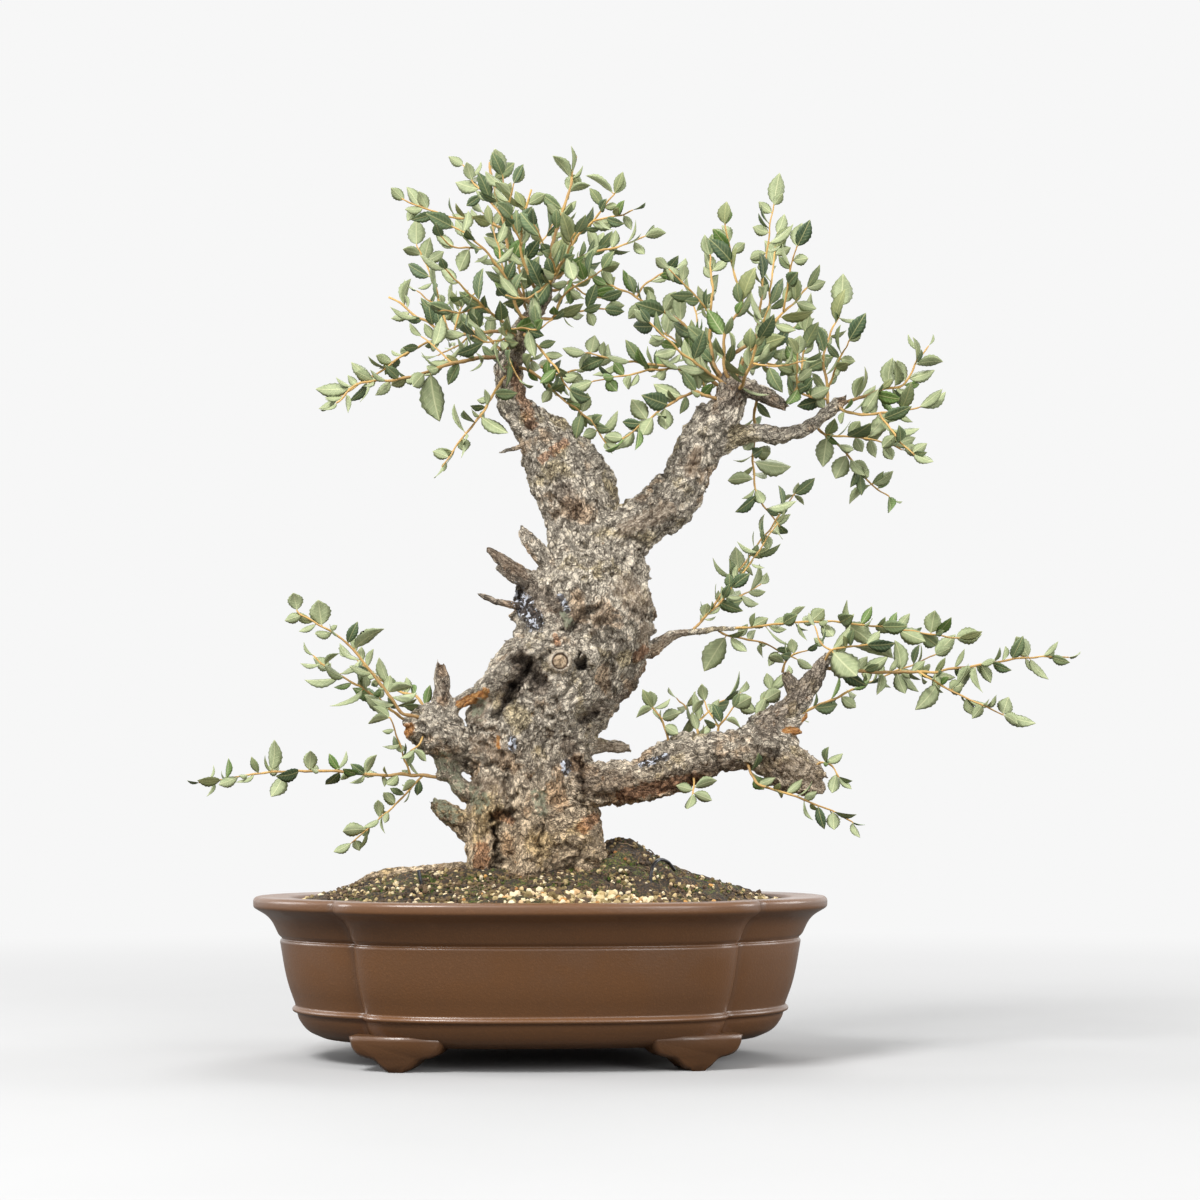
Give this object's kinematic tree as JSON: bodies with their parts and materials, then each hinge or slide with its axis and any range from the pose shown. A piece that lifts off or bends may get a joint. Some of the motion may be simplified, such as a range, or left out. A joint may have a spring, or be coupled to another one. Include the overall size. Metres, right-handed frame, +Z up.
{
  "type": "potted bonsai tree",
  "caption": "Gnarled evergreen bonsai with corky bark, two crowns and side branches, planted in a four-lobed tray on cloud feet.",
  "frame": {"origin": "centre of the whole object's box, on the plane of the pot's feet", "axes": "+Z up; -Y is the front, the side that the crowns are trained for; +X towards the longest low branch, the viewer's right"},
  "size_m": [0.6574, 0.332, 0.6844],
  "materials": {
    "stoneware": "brown satin stoneware with a faint sheen",
    "soil": "coarse grit and dark peat with moss",
    "bark": "thick furrowed grey-brown cork bark",
    "foliage": "leathery grey-green leaves on thin ochre twigs",
    "wire": "dark anodised, dull",
    "screen": "black mesh"
  },
  "bodies": {
    "root": {"drain_screen_left": "screen", "drain_screen_right": "screen", "pot": "stoneware", "soil": "soil", "spray_a_back_east": "foliage", "spray_a_back_high": "foliage", "spray_a_back_west": "foliage", "spray_a_crest": "foliage", "spray_a_east_high": "foliage", "spray_a_east_mid": "foliage", "spray_a_fan": "foliage", "spray_a_front_east": "foliage", "spray_a_front_west": "foliage", "spray_a_hang_east": "foliage", "spray_a_hang_long": "foliage", "spray_a_hang_west": "foliage", "spray_a_low_east": "foliage", "spray_a_mast": "foliage", "spray_a_reach": "foliage", "spray_a_south_east": "foliage", "spray_a_tip": "foliage", "spray_a_west": "foliage", "spray_b_back_east": "foliage", "spray_b_back_west": "foliage", "spray_b_bough": "foliage", "spray_b_core": "foliage", "spray_b_east": "foliage", "spray_b_east_high": "foliage", "spray_b_east_low": "foliage", "spray_b_front_mid": "foliage", "spray_b_hang": "foliage", "spray_b_mast": "foliage", "spray_b_ridge": "foliage", "spray_b_top": "foliage", "spray_b_under_east": "foliage", "spray_b_west": "foliage", "spray_b_west_cut": "foliage", "spray_b_west_high": "foliage", "spray_b_west_low": "foliage", "spray_c_back": "foliage", "spray_c_belly": "foliage", "spray_c_crest": "foliage", "spray_c_cross": "foliage", "spray_c_end": "foliage", "spray_c_inner": "foliage", "spray_c_reach": "foliage", "spray_c_stub": "foliage", "spray_c_top_mid": "foliage", "spray_c_top_west": "foliage", "spray_c_under": "foliage", "spray_d_dip": "foliage", "spray_d_reach": "foliage", "spray_d_rise": "foliage", "spray_knob_sprig": "foliage", "spray_left_back": "foliage", "spray_left_high": "foliage", "spray_left_low": "foliage", "spray_left_mid": "foliage", "tie_wire": "wire", "tree": "bark"}
  },
  "joints": []
}
